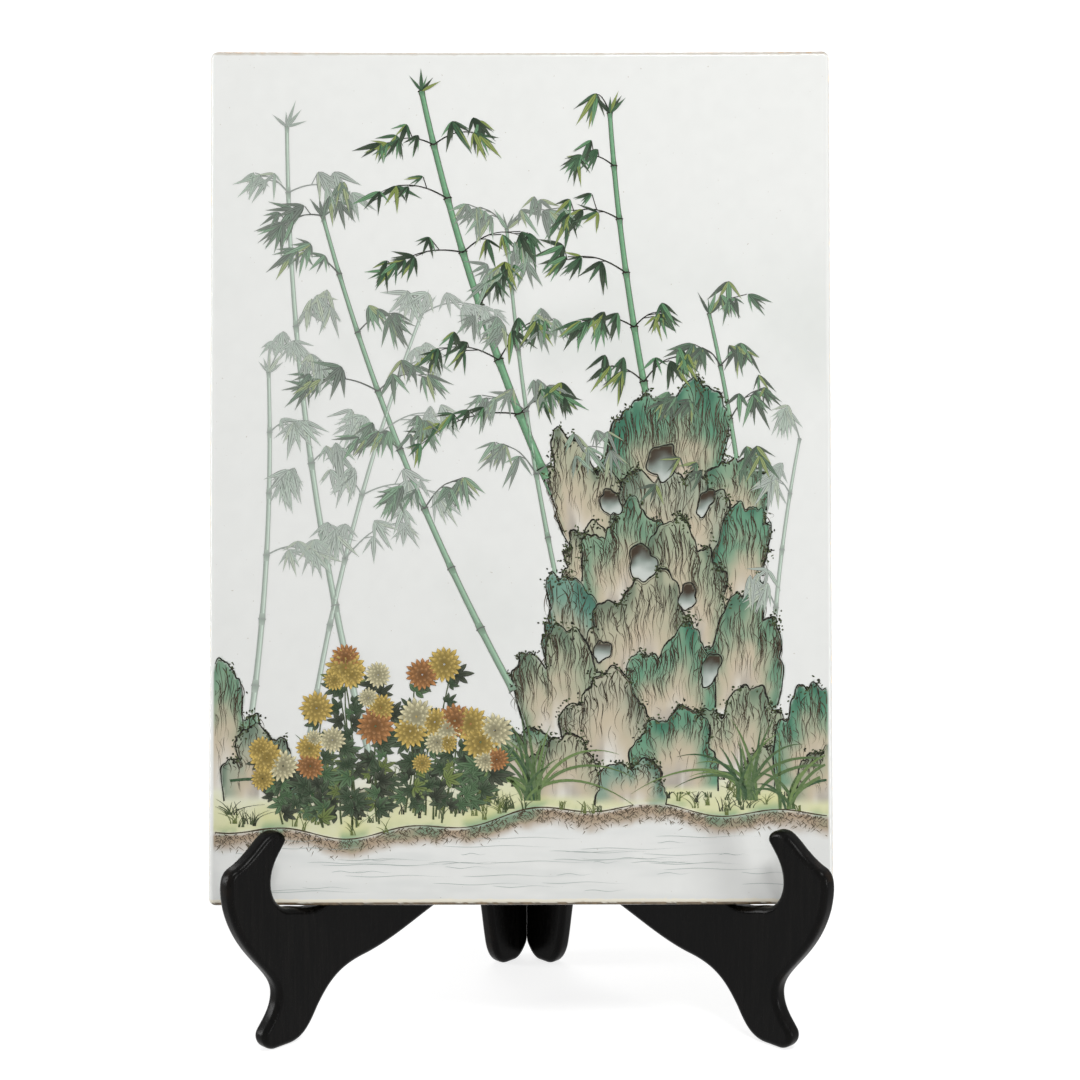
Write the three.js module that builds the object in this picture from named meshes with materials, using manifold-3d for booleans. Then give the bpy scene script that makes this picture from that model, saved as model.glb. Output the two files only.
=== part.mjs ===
// A rectangular porcelain plaque standing on a folding wooden easel.
// The easel is a mirrored pair of scroll-cut boards, joined along their rear edges by two brass butt hinges.
// Millimetres, +Z up, the painted face looks towards -Y, the origin is under the middle of the whole.

import * as THREE from 'three';
import { mergeVertices } from 'three/addons/utils/BufferGeometryUtils.js';
import Module from 'manifold-3d';

const wasm = await Module();
wasm.setup();

// Plaque
const PLAQUE_WIDTH = 276;
const PLAQUE_HEIGHT = 380;
const PLAQUE_THICKNESS = 8;
const PLAQUE_ARRIS = 2;
const PLAQUE_CORNER = 3;
const PLAQUE_TOP_DIP = 0.5;
const PLAQUE_LEAN = THREE.MathUtils.degToRad(18);
const PLAQUE_OFFSET_X = -2.6;
const PLAQUE_FRONT_EDGE = 62.85;

// Boards, drawn as u along the board from the hinge axis and v above the table
const BOARD_THICKNESS = 8;
const BOARD_ARRIS = 2;
const BOARD_OPENED = THREE.MathUtils.degToRad(45);
const REAR_EDGE = 0.2;
const FACE_GAP = 0.15;
const HINGE_DEPTH = 97;
const UPRIGHT_TOP = 262;
const CONTACT_HEIGHT = 236;
const HOOK_TOP = 101;
const FRONT_REACH = 182.05;
const SOLE = { heel: 148.5, toe: 156.5 };
const ANKLE = { u: 154.5, v: 25 };
const NOTCH = { u: 142, v: 61.5 };
const SEAT = { u: 127.2, v: 60.8 };
const REAR_LEG_WIDTH = 21;
const ARCH_TOP = 49.5;

// Butt hinges, with their leaves let into the rear edges
const HINGE_CENTRES = { lower: 46, upper: 205 };
const LEAF_HEIGHT = 20;
const LEAF_WIDTH = 6.4;
const LEAF_THICKNESS = 0.9;
const LEAF_CORNER = 0.8;
const KNUCKLE_RADIUS = 1.5;
const KNUCKLE_GAP = 0.3;
const PIN_RADIUS = 0.7;
const PIN_CLEARANCE = 0.1;
const PIN_HEAD = { radius: 1.15, crown: 0.8, rim: 0.4, height: 0.5 };
const SCREW = { head: 1.35, rim: 0.1, neck: 0.75, shank: 0.65, taper: 2.4, length: 7, slot: 0.4, pitch: 11 };
const SCREW_ACROSS = 4.5;
const SCREW_SUNK = 0.05;
const COUNTERSINK = { shank: 0.15, head: 0.35, over: 0.1 };

// Gap between pieces that touch, and the facets of round work
const SEAT_GAP = 0.3;
const ROUND_SIDES = 16;

const CLEARANCE_RADIUS = KNUCKLE_RADIUS + SEAT_GAP;
const BORE_RADIUS = PIN_RADIUS + PIN_CLEARANCE;
const KNUCKLE_HEIGHT = (LEAF_HEIGHT - 2 * KNUCKLE_GAP) / 3;

const lacquer = { color: 0x0b0908, roughness: 0.2, metalness: 0 };
const brass = { color: 0xa67c35, roughness: 0.35, metalness: 1 };
const porcelain = { color: 0xe9e9e2, roughness: 0.12, metalness: 0 };

// Solids

function toSolid(geometry) {
  const bare = geometry.clone();
  bare.deleteAttribute('normal');
  bare.deleteAttribute('uv');
  const merged = mergeVertices(bare, 1e-4);
  return new wasm.Manifold(new wasm.Mesh({
    numProp: 3,
    vertProperties: new Float32Array(merged.attributes.position.array),
    triVerts: new Uint32Array(merged.index.array),
  }));
}

function toGeometry(solid) {
  const mesh = solid.getMesh();
  const geometry = new THREE.BufferGeometry();
  geometry.setAttribute('position', new THREE.BufferAttribute(mesh.vertProperties, 3));
  geometry.setIndex(new THREE.BufferAttribute(mesh.triVerts, 1));
  geometry.computeVertexNormals();
  return geometry;
}

function makeMesh(name, geometry, finish) {
  const mesh = new THREE.Mesh(geometry, new THREE.MeshStandardMaterial(finish));
  mesh.name = name;
  return mesh;
}

// A post of round section standing on the local y axis, from one height to another
function roundPost(radius, low, high) {
  const post = new THREE.CylinderGeometry(radius, radius, high - low, ROUND_SIDES);
  post.translate(0, (low + high) / 2, 0);
  return post;
}

// Plaque: a fired slab with softly rounded arrises, its top edge dipping a little in the middle

function plaqueOutline() {
  const half = PLAQUE_WIDTH / 2;
  const round = PLAQUE_CORNER;
  const outline = new THREE.Shape();
  outline.moveTo(-half + round, 0);
  outline.lineTo(half - round, 0);
  outline.quadraticCurveTo(half, 0, half, round);
  outline.lineTo(half, PLAQUE_HEIGHT - round);
  outline.quadraticCurveTo(half, PLAQUE_HEIGHT, half - round, PLAQUE_HEIGHT);
  outline.quadraticCurveTo(0, PLAQUE_HEIGHT - 2 * PLAQUE_TOP_DIP, round - half, PLAQUE_HEIGHT);
  outline.quadraticCurveTo(-half, PLAQUE_HEIGHT, -half, PLAQUE_HEIGHT - round);
  outline.lineTo(-half, round);
  outline.quadraticCurveTo(-half, 0, -half + round, 0);
  return outline;
}

function makePlaque() {
  const slab = new THREE.ExtrudeGeometry(plaqueOutline(), {
    depth: PLAQUE_THICKNESS - 2 * PLAQUE_ARRIS,
    bevelThickness: PLAQUE_ARRIS,
    bevelSize: PLAQUE_ARRIS,
    bevelOffset: -PLAQUE_ARRIS,
    bevelSegments: 4,
    curveSegments: 6,
  });
  slab.translate(0, 0, PLAQUE_ARRIS - PLAQUE_THICKNESS);
  return makeMesh('plaque', toGeometry(toSolid(slab)), porcelain);
}

// How far along the board the plaque's back lies at a height above the table
function plaqueBackAt(height) {
  const foot = PLAQUE_THICKNESS / Math.cos(PLAQUE_LEAN);
  const depth = foot + (height - PLAQUE_FRONT_EDGE) * Math.tan(PLAQUE_LEAN);
  return (HINGE_DEPTH - depth) / Math.sin(BOARD_OPENED);
}

// Boards: one outline, cut from the plank with its arrises rounded over and its rear edge left square.
// A little more than the seat gap is left at the contact, as the facets of the hollow curve take it up.

function boardOutline() {
  const arrisRelief = BOARD_ARRIS * (Math.SQRT2 - 1);
  const relief = (arrisRelief - 1.2 * SEAT_GAP) / Math.sin(BOARD_OPENED);
  const contact = plaqueBackAt(CONTACT_HEIGHT) + FACE_GAP + relief;
  const hidden = -2 * BOARD_ARRIS;
  const outline = new THREE.Shape();
  outline.moveTo(hidden, 13);

  // Rear leg, with a small flat to stand on
  outline.bezierCurveTo(-1.5, 10, 1.5, 1, 6.5, 0);
  outline.lineTo(11, 0);
  outline.bezierCurveTo(14.5, 0, 19.5, 6, REAR_LEG_WIDTH, 12);
  outline.bezierCurveTo(22.5, 19, 23, 24, 24, 30);

  // Arch and underside
  outline.bezierCurveTo(25.5, 42, 31, ARCH_TOP, 39, ARCH_TOP);
  outline.bezierCurveTo(46, ARCH_TOP, 50, 44, 59.6, 41);
  outline.bezierCurveTo(74, 36.5, 88, 31, 103, 29.4);
  outline.bezierCurveTo(119, 27.5, 124.5, 21.5, 131, 13);

  // Front foot: heel, sole and toe
  outline.bezierCurveTo(135, 7, 139, 0, SOLE.heel, 0);
  outline.lineTo(SOLE.toe, 0);
  outline.bezierCurveTo(160.5, 0, 165.2, 4.5, 163, 9);
  outline.bezierCurveTo(160.8, 12.5, ANKLE.u, 17, ANKLE.u, ANKLE.v);

  // Swelling front, shoulder and hook
  outline.bezierCurveTo(ANKLE.u, 36.5, 174.5, 46, 180.8, 70.5);
  outline.bezierCurveTo(FRONT_REACH + 1, 79.5, FRONT_REACH + 1, 87, 177.5, 89.2);
  outline.bezierCurveTo(166, 92.6, 161, HOOK_TOP, 155, HOOK_TOP);
  outline.bezierCurveTo(150, HOOK_TOP, 146, 97.3, 149, 94);

  // Notch that holds the lower edge of the plaque
  outline.bezierCurveTo(152, 90.5, 156.8, 85.5, 156.8, 78);
  outline.bezierCurveTo(156.8, 68.5, 149.5, NOTCH.v + 0.3, NOTCH.u, NOTCH.v);
  outline.bezierCurveTo(137.5, NOTCH.v - 0.6, 132.5, SEAT.v - 0.9, SEAT.u, SEAT.v);
  outline.bezierCurveTo(124, 61.8, 121.5, 63.4, 119.2, 67.5);

  // Upright, hollowed so that only its upper end meets the plaque's back
  outline.bezierCurveTo(82, 93, contact + 16, 201, contact, CONTACT_HEIGHT);
  outline.bezierCurveTo(contact - 7, 253, contact - 12, UPRIGHT_TOP, contact - 23, UPRIGHT_TOP);
  outline.bezierCurveTo(contact - 35, UPRIGHT_TOP, hidden, 256, hidden, 240);
  outline.lineTo(hidden, 13);
  return outline;
}

// side is 1 for the left board and -1 for the right one: it turns the thickness to the outer face
function makeBoard(name, side) {
  const plank = new THREE.ExtrudeGeometry(boardOutline(), {
    depth: BOARD_THICKNESS - 2 * BOARD_ARRIS,
    bevelThickness: BOARD_ARRIS,
    bevelSize: BOARD_ARRIS,
    bevelOffset: -BOARD_ARRIS,
    bevelSegments: 3,
    curveSegments: 8,
  });
  const middle = side * (FACE_GAP + BOARD_THICKNESS / 2);
  plank.translate(0, 0, middle - (BOARD_THICKNESS / 2 - BOARD_ARRIS));

  const wasteDepth = 2 * BOARD_THICKNESS;
  const waste = new THREE.BoxGeometry(wasteDepth, 2 * UPRIGHT_TOP, 4 * BOARD_THICKNESS);
  waste.translate(REAR_EDGE - wasteDepth / 2, UPRIGHT_TOP / 2, 0);
  let board = toSolid(plank).subtract(toSolid(waste));

  for (const height of Object.values(HINGE_CENTRES)) {
    board = board.subtract(toSolid(leafMortise(side, height)));
    board = board.subtract(toSolid(knuckleRecess(height)));
    for (const screwHeight of screwHeights(height)) {
      board = board.subtract(toSolid(screwPilot(side, screwHeight)));
    }
  }
  return makeMesh(name, toGeometry(board), lacquer);
}

// Hinges

const leafHalf = LEAF_HEIGHT / 2;

function screwHeights(height) {
  return [height - SCREW.pitch / 2, height + SCREW.pitch / 2];
}

function leafMortise(side, height) {
  const deep = LEAF_THICKNESS + SEAT_GAP;
  const mortise = new THREE.BoxGeometry(2 * deep, LEAF_HEIGHT + 2 * SEAT_GAP, LEAF_WIDTH + SEAT_GAP);
  mortise.translate(REAR_EDGE, height, side * (LEAF_WIDTH + SEAT_GAP) / 2);
  return mortise;
}

function knuckleRecess(height) {
  const reach = leafHalf + PIN_HEAD.height + 2 * SEAT_GAP;
  return roundPost(CLEARANCE_RADIUS, height - reach, height + reach);
}

function screwPilot(side, height) {
  const deep = SCREW.length + 2 * SEAT_GAP;
  const pilot = new THREE.CylinderGeometry(SCREW.shank + SEAT_GAP, SCREW.shank + SEAT_GAP, deep, ROUND_SIDES);
  pilot.rotateZ(Math.PI / 2);
  pilot.translate(REAR_EDGE + deep / 2, height, side * SCREW_ACROSS);
  return pilot;
}

// The plate of a leaf lies in its mortise, flush with the rear edge of the board
function leafPlate(side) {
  const plate = new THREE.Shape();
  plate.moveTo(0, -leafHalf);
  plate.lineTo(LEAF_WIDTH - LEAF_CORNER, -leafHalf);
  plate.quadraticCurveTo(LEAF_WIDTH, -leafHalf, LEAF_WIDTH, LEAF_CORNER - leafHalf);
  plate.lineTo(LEAF_WIDTH, leafHalf - LEAF_CORNER);
  plate.quadraticCurveTo(LEAF_WIDTH, leafHalf, LEAF_WIDTH - LEAF_CORNER, leafHalf);
  plate.lineTo(0, leafHalf);
  plate.lineTo(0, -leafHalf);
  const blank = new THREE.ExtrudeGeometry(plate, { depth: LEAF_THICKNESS, bevelEnabled: false, curveSegments: 4 });
  blank.rotateY(-side * Math.PI / 2);
  blank.translate(side > 0 ? REAR_EDGE + LEAF_THICKNESS : REAR_EDGE, 0, 0);
  return blank;
}

function countersink(side, height) {
  const depth = LEAF_THICKNESS + 2 * COUNTERSINK.over;
  const bottom = SCREW.shank + COUNTERSINK.shank;
  const mouth = SCREW.head + COUNTERSINK.head;
  const cone = new THREE.CylinderGeometry(bottom, mouth, depth, ROUND_SIDES);
  cone.rotateZ(-Math.PI / 2);
  cone.translate(REAR_EDGE + LEAF_THICKNESS / 2, height, side * SCREW_ACROSS);
  return cone;
}

// Knuckle 0 is the lowest. The left leaf carries the two outer ones and the right leaf the middle one.
function knuckleSpan(index) {
  const low = -leafHalf + index * (KNUCKLE_HEIGHT + KNUCKLE_GAP);
  return [low, low + KNUCKLE_HEIGHT];
}

function makeLeaf(name, side) {
  const own = side > 0 ? [0, 2] : [1];
  const other = side > 0 ? [1] : [0, 2];
  let leaf = toSolid(leafPlate(side));
  for (const index of other) {
    const [low, high] = knuckleSpan(index);
    leaf = leaf.subtract(toSolid(roundPost(CLEARANCE_RADIUS, low - KNUCKLE_GAP, high + KNUCKLE_GAP)));
  }
  for (const index of own) {
    leaf = leaf.add(toSolid(roundPost(KNUCKLE_RADIUS, ...knuckleSpan(index))));
  }
  leaf = leaf.subtract(toSolid(roundPost(BORE_RADIUS, -LEAF_HEIGHT, LEAF_HEIGHT)));
  for (const height of screwHeights(0)) {
    leaf = leaf.subtract(toSolid(countersink(side, height)));
  }
  return makeMesh(name, toGeometry(leaf), brass);
}

// The pin is a wire peened over at both ends
function makePin(name) {
  const end = leafHalf + SEAT_GAP;
  const profile = [
    new THREE.Vector2(0, -end - PIN_HEAD.height),
    new THREE.Vector2(PIN_HEAD.crown, -end - PIN_HEAD.rim),
    new THREE.Vector2(PIN_HEAD.radius, -end),
    new THREE.Vector2(PIN_RADIUS, -end),
    new THREE.Vector2(PIN_RADIUS, end),
    new THREE.Vector2(PIN_HEAD.radius, end),
    new THREE.Vector2(PIN_HEAD.crown, end + PIN_HEAD.rim),
    new THREE.Vector2(0, end + PIN_HEAD.height),
  ];
  return makeMesh(name, toGeometry(toSolid(new THREE.LatheGeometry(profile, ROUND_SIDES))), brass);
}

// A slotted countersunk screw, its head flush with the leaf
function makeScrew(name, side, height) {
  const profile = [
    new THREE.Vector2(0, -SCREW.length),
    new THREE.Vector2(SCREW.shank, SCREW.taper - SCREW.length),
    new THREE.Vector2(SCREW.shank, -SCREW.neck),
    new THREE.Vector2(SCREW.head, -SCREW.rim),
    new THREE.Vector2(SCREW.head, 0),
    new THREE.Vector2(0, 0),
  ];
  const slot = new THREE.BoxGeometry(4 * SCREW.head, SCREW.slot, SCREW.slot);
  const screw = toSolid(new THREE.LatheGeometry(profile, ROUND_SIDES)).subtract(toSolid(slot));
  const mesh = makeMesh(name, toGeometry(screw), brass);
  mesh.rotation.z = Math.PI / 2;
  mesh.position.set(REAR_EDGE + SCREW_SUNK, height, side * SCREW_ACROSS);
  return mesh;
}

// Assembly

const easelAndPlaque = new THREE.Group();

const plaqueSeat = new THREE.Group();
plaqueSeat.rotation.x = Math.PI / 2 - PLAQUE_LEAN;
plaqueSeat.position.set(PLAQUE_OFFSET_X, 0, PLAQUE_FRONT_EDGE);
plaqueSeat.add(makePlaque());
easelAndPlaque.add(plaqueSeat);

for (const [word, side] of [['left', 1], ['right', -1]]) {
  const half = new THREE.Group();
  const bearing = side > 0 ? Math.PI + BOARD_OPENED : -BOARD_OPENED;
  half.rotation.set(Math.PI / 2, 0, bearing, 'ZYX');
  half.position.set(0, HINGE_DEPTH, 0);
  half.add(makeBoard(`${word}_board`, side));
  for (const [place, height] of Object.entries(HINGE_CENTRES)) {
    const leaf = makeLeaf(`${place}_hinge_${word}_leaf`, side);
    leaf.position.y = height;
    half.add(leaf);
    screwHeights(height).forEach((screwHeight, index) => {
      half.add(makeScrew(`${place}_hinge_${word}_screw_${index + 1}`, side, screwHeight));
    });
    if (side > 0) {
      const pin = makePin(`${place}_hinge_pin`);
      pin.position.y = height;
      half.add(pin);
    }
  }
  easelAndPlaque.add(half);
}

// Put the origin under the middle of the whole, on the table
easelAndPlaque.updateMatrixWorld(true);
const extent = new THREE.Box3().setFromObject(easelAndPlaque, true);
easelAndPlaque.position.set(
  -(extent.min.x + extent.max.x) / 2,
  -(extent.min.y + extent.max.y) / 2,
  -extent.min.z,
);
easelAndPlaque.updateMatrixWorld(true);

export default easelAndPlaque;
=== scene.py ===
import math
from itertools import product

import bmesh
import bpy
import numpy as np
from mathutils import Matrix, Vector


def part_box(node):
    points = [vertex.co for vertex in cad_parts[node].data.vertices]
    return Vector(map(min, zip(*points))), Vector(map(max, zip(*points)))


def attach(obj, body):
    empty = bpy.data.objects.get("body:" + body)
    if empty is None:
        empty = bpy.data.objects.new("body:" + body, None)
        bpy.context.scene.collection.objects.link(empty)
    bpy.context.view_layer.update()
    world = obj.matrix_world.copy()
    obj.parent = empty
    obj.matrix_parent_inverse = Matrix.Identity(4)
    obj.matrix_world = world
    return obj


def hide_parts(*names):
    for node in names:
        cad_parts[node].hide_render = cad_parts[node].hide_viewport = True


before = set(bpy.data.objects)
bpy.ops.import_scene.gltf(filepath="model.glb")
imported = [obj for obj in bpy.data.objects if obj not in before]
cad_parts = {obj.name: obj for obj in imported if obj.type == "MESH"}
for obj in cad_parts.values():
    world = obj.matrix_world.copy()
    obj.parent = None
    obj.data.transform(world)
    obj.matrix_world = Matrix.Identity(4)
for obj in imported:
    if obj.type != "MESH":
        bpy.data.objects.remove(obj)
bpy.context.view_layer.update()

# ---- Camera
# One lens, a little above the middle of the plaque and looking down on it from a metre and a half away, as
# the photograph was taken.


def new_object(name, data):
    made = bpy.data.objects.new(name, data)
    bpy.context.scene.collection.objects.link(made)
    return made


def aimed(name, data, place, target):
    """A camera or lamp that looks from its place at its target."""
    made = new_object(name, data)
    made.location = place
    made.rotation_euler = (Vector(target) - Vector(place)).to_track_quat("-Z", "Y").to_euler()
    return made


camera = bpy.data.cameras.new("camera")
camera.sensor_width = 36
camera.lens = 123.1
camera.clip_end = 60

aim = Vector((0.00828, -0.04685, 0.22985))
away = 1.587
climb = math.radians(15.2)
swing = math.radians(-0.3)
back = Vector((math.sin(swing) * math.cos(climb), -math.cos(swing) * math.cos(climb), math.sin(climb)))
bpy.context.scene.camera = aimed("camera", camera, aim + away * back, aim)


# ---- Table and studio light
# A white table that runs on out of sight, and four soft lamps. The table is shown white to the camera and
# in reflections, with the object's own shadow left on it.


class Socket:
    """A node's socket that Python's own operators work on."""

    def __init__(self, nodes, socket):
        self.nodes, self.socket = nodes, socket

    def maths(self, operation, *terms):
        return self.nodes.node("ShaderNodeMath", {"operation": operation}, dict(enumerate(terms)))

    def __add__(self, other):
        return self.maths("ADD", self, other)

    def __sub__(self, other):
        return self.maths("SUBTRACT", self, other)

    def __rsub__(self, other):
        return self.maths("SUBTRACT", other, self)

    def __mul__(self, other):
        return self.maths("MULTIPLY", self, other)

    def __pow__(self, other):
        return self.maths("POWER", self, other)

    def __abs__(self):
        return self.maths("ABSOLUTE", self)

    __radd__, __rmul__ = __add__, __mul__

    def either(self, other):
        return self.maths("MAXIMUM", self, other)

    def step(self, low, high):
        """0 below low, 1 above high and smooth between them."""
        inputs = {0: self, 1: low, 2: high, 3: 0.0, 4: 1.0}
        return self.nodes.node("ShaderNodeMapRange", {"interpolation_type": "SMOOTHSTEP"}, inputs)


class Nodes:
    """A node tree, and the one way a node is added to it."""

    def __init__(self, tree):
        self.tree = tree
        self.tree.nodes.clear()

    def node(self, kind, settings, inputs, output=0):
        made = self.tree.nodes.new(kind)
        for name, value in settings.items():
            setattr(made, name, value)
        for name, value in inputs.items():
            if isinstance(value, (Socket, list)):
                for link in value if isinstance(value, list) else [value]:
                    self.tree.links.new(link.socket, made.inputs[name])
            else:
                made.inputs[name].default_value = value
        return Socket(self, made.outputs[output]) if made.outputs else made

    def plainly_seen(self):
        """1 for what the camera sees, straight, mirrored or through a clear thing, and 0 for other light."""
        rays = ("Is Camera Ray", "Is Glossy Ray", "Is Transmission Ray")
        straight, mirrored, through = (self.node("ShaderNodeLightPath", {}, {}, ray) for ray in rays)
        return straight.either(mirrored).either(through)


class Finish(Nodes):
    """The nodes of one material."""

    def __init__(self, name):
        self.material = bpy.data.materials.new(name)
        self.material.use_nodes = True
        super().__init__(self.material.node_tree)
        self.place = self.node("ShaderNodeTexCoord", {}, {}, "Object")

    def blend(self, amount, first, second, way="MIX"):
        first, second = (c if isinstance(c, Socket) else (*c, 1) for c in (first, second))
        settings = {"data_type": "RGBA", "blend_type": way}
        return self.node("ShaderNodeMix", settings, {0: amount, 6: first, 7: second}, 2)

    def noise(self, scale, detail, roughness, stretch=None):
        place = self.place
        if stretch:
            place = self.node("ShaderNodeMapping", {}, {"Vector": place, "Scale": stretch})
        inputs = {"Vector": place, "Scale": scale, "Detail": detail, "Roughness": roughness}
        return self.node("ShaderNodeTexNoise", {}, inputs)

    def attribute(self, name, output="Fac"):
        return self.node("ShaderNodeAttribute", {"attribute_name": name}, {}, output)

    def bump(self, strength, distance, height):
        return self.node("ShaderNodeBump", {}, {"Strength": strength, "Distance": distance, "Height": height})

    def surface(self, shader):
        self.node("ShaderNodeOutputMaterial", {}, {"Surface": shader})
        return self.material

    def coat(self, inputs):
        return self.surface(self.node("ShaderNodeBsdfPrincipled", {}, inputs))


def new_mesh(name, corners, faces=()):
    mesh = bpy.data.meshes.new(name)
    mesh.from_pydata(corners, [], faces)
    return mesh


table_white = Finish("table white")
spot = table_white.node("ShaderNodeVectorMath", {"operation": "LENGTH"}, {0: table_white.place}, "Value")
matt = table_white.node("ShaderNodeBsdfDiffuse", {}, {"Color": (0.4, 0.4, 0.4, 1)})
glow = table_white.node("ShaderNodeEmission", {}, {
    "Color": (1, 1, 1, 1),
    "Strength": table_white.plainly_seen() * (0.8 + spot.step(0.8, 4.0) * 0.2),
})
table_reach = 14
table_corners = [(x * table_reach, y * table_reach, 0) for x, y in ((-1, -1), (1, -1), (1, 1), (-1, 1))]
table_mesh = new_mesh("table", table_corners, [(0, 1, 2, 3)])
table_mesh.materials.append(
    table_white.surface(table_white.node("ShaderNodeAddShader", {}, {0: matt, 1: glow}))
)
table = new_object("table", table_mesh)

world = bpy.data.worlds.new("studio")
bpy.context.scene.world = world
world.use_nodes = True
studio = Nodes(world.node_tree)
strength = 0.3 + studio.plainly_seen() * 0.7
sky = studio.node("ShaderNodeBackground", {}, {"Color": (1, 1, 1, 1), "Strength": strength})
studio.node("ShaderNodeOutputWorld", {}, {"Surface": sky})

for name, place, target, size, power in (
    ("overhead lamp", (0.4, -0.85, 1.65), (0, -0.02, 0.24), (0.75, 0.4), 16.3),
    ("right lamp", (1.7, -1.15, 0.35), (0, -0.02, 0.16), (0.4, 0.8), 12),
    ("left lamp", (-1.8, -0.1, 0.55), (0, -0.02, 0.25), (0.4, 0.9), 17),
    ("rear lamp", (-0.3, 1.4, 1.3), (0, 0.02, 0.2), (1.2, 0.5), 8),
):
    lamp = bpy.data.lights.new(name, "AREA")
    lamp.shape = "RECTANGLE"
    lamp.size, lamp.size_y = size
    lamp.energy = power
    aimed(name, lamp, place, target)

bpy.context.scene.view_settings.view_transform = "Standard"


# ---- Boards of the easel
# Two scroll-cut boards of hardwood, a mirrored pair, fret-sawn from 8 mm stock with every arris rounded
# over except along the rear edge, which is left square for the hinges. Black lacquer, rubbed down, with
# lighter brown patches along the rounded edges that are partly worn lacquer and partly a painted sheen.

pin_low, pin_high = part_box("lower_hinge_pin")
hinge_x, hinge_y = [(pin_low[i] + pin_high[i]) / 2 for i in (0, 1)]
half_right = math.sqrt(0.5)

# Millimetres, until each mesh is put in its place
lean = math.radians(18)
front_edge = 62.85
plaque_forward = 97
plaque_thick = 8
board_thick = 8
board_arris = 2.7
face_gap = rear_edge = 0.005
tip_gap = 0.36
contact_height = 236
back_depth = plaque_thick / math.cos(lean) + (contact_height - front_edge) * math.tan(lean)
rounded_off = board_arris * (math.sqrt(2) - 1)
contact = (plaque_forward - back_depth + rounded_off - tip_gap) / half_right + face_gap

# Each line or curve of the outline, as (end,) or (handle, handle, end)
board_start = (-4, 13)
board_outline = [
    ((-2.5, 9.5), (1.2, 0.2), (7, 0)),
    ((12, 0),),
    ((16.5, 0), (20, 5), (21.2, 12)),
    ((22.5, 19), (23, 24), (24, 30)),
    ((25.5, 42), (31, 49.5), (39, 49.5)),
    ((46, 49.5), (50, 44), (59.6, 41)),
    ((74, 36.5), (88, 31), (103, 29.4)),
    ((119, 27.5), (124.5, 21.5), (131, 13)),
    ((135, 7), (139, 0), (148.5, 0)),
    ((156.5, 0),),
    ((160.5, 0), (165.2, 4.5), (163, 9)),
    ((160.8, 12.5), (154.5, 17), (154.5, 25)),
    ((154.5, 36.5), (174.5, 46), (180.8, 70.5)),
    ((182.7, 79.5), (182.7, 87), (177.3, 89.1)),
    ((166, 92.6), (161, 101), (155, 101)),
    ((150, 101), (146, 97.3), (149, 94)),
    ((152, 90.5), (156.8, 85.5), (156.8, 78)),
    ((156.8, 70), (151.5, 64.4), (146, 63.4)),
    ((142, 62.7), (139, 61.2), (134.9, 60.6)),
    ((132, 60.2), (129.5, 60.1), (127.2, 60.8)),
    ((124, 61.8), (121.5, 63.4), (119.2, 67.5)),
    ((82, 93), (contact + 16, 201), (contact, contact_height)),
    ((contact - 7, 253), (contact - 12, 262), (contact - 23, 262)),
    ((contact - 35, 262), (-4, 256), (-4, 240)),
    (board_start,),
]


def trace(start, pieces, spacing):
    """Points along lines and Bezier curves, evenly spaced, without the last one, which is the first."""
    t = np.linspace(0, 1, 200, endpoint=False)[:, None]
    u = 1 - t
    fine = []
    at = np.array(start, float)
    for *handles, end in pieces:
        end = np.array(end, float)
        if handles:
            first, second = np.array(handles, float)
            fine.append(u ** 3 * at + 3 * u ** 2 * t * first + 3 * u * t ** 2 * second + t ** 3 * end)
        else:
            fine.append(at + (end - at) * t)
        at = end
    fine = np.vstack([*fine, at])
    along = np.concatenate([[0], np.cumsum(np.linalg.norm(np.diff(fine, axis=0), axis=1))])
    stations = np.linspace(0, along[-1], int(along[-1] / spacing), endpoint=False)
    return np.column_stack([np.interp(stations, along, fine[:, i]) for i in (0, 1)])


def rounded_slab(outline, low, high, arris, steps):
    """A slab over a closed outline, anticlockwise, its arrises rounded over inside that outline."""
    ahead = np.roll(outline, -1, axis=0) - np.roll(outline, 1, axis=0)
    normal = np.column_stack([ahead[:, 1], -ahead[:, 0]])
    normal /= np.linalg.norm(normal, axis=1)[:, None]
    angles = np.linspace(0, math.pi / 2, steps + 1)
    rings = [(math.sin(a) - 1, low + arris * (1 - math.cos(a))) for a in angles]
    rings += [(math.sin(a) - 1, high - arris * (1 - math.cos(a))) for a in angles[::-1]]
    count, last = len(outline), len(rings) - 1
    corners = np.vstack([
        np.column_stack([outline + normal * arris * inset, np.full(count, level)]) for inset, level in rings
    ])
    faces = [tuple(range(count))[::-1], tuple(range(last * count, (last + 1) * count))]
    for ring in range(last):
        for i in range(count):
            lower, upper = ring * count, (ring + 1) * count
            j = (i + 1) % count
            faces.append((lower + i, lower + j, upper + j, upper + i))
    return new_mesh("slab", corners.tolist(), faces)


def block(low, high):
    faces = [(0, 1, 3, 2), (4, 6, 7, 5), (0, 4, 5, 1), (2, 3, 7, 6), (0, 2, 6, 4), (1, 5, 7, 3)]
    return new_mesh("block", list(product(*zip(low, high))), faces)


def turned(profile, sides=40):
    """A piece turned on a lathe about its y axis, from (radius, height) pairs, and closed at both ends."""
    made = bmesh.new()
    turns = [2 * math.pi * k / sides for k in range(sides)]
    rings = []
    for radius, height in profile:
        if radius == 0:
            rings.append([made.verts.new((0, height, 0))] * sides)
        else:
            around = [(radius * math.cos(a), height, radius * math.sin(a)) for a in turns]
            rings.append([made.verts.new(spot) for spot in around])
    for lower, upper in zip(rings[:-1], rings[1:]):
        for k in range(sides):
            around = [lower[k], upper[k], upper[(k + 1) % sides], lower[(k + 1) % sides]]
            made.faces.new(dict.fromkeys(around))
    for ring in (rings[0], rings[-1]):
        if ring[0] is not ring[1]:
            made.faces.new(ring)
    bmesh.ops.recalc_face_normals(made, faces=made.faces)
    mesh = bpy.data.meshes.new("turned")
    made.to_mesh(mesh)
    made.free()
    return mesh


def post(radius, low, high):
    return turned([(radius, low), (radius, high)], 32)


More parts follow.
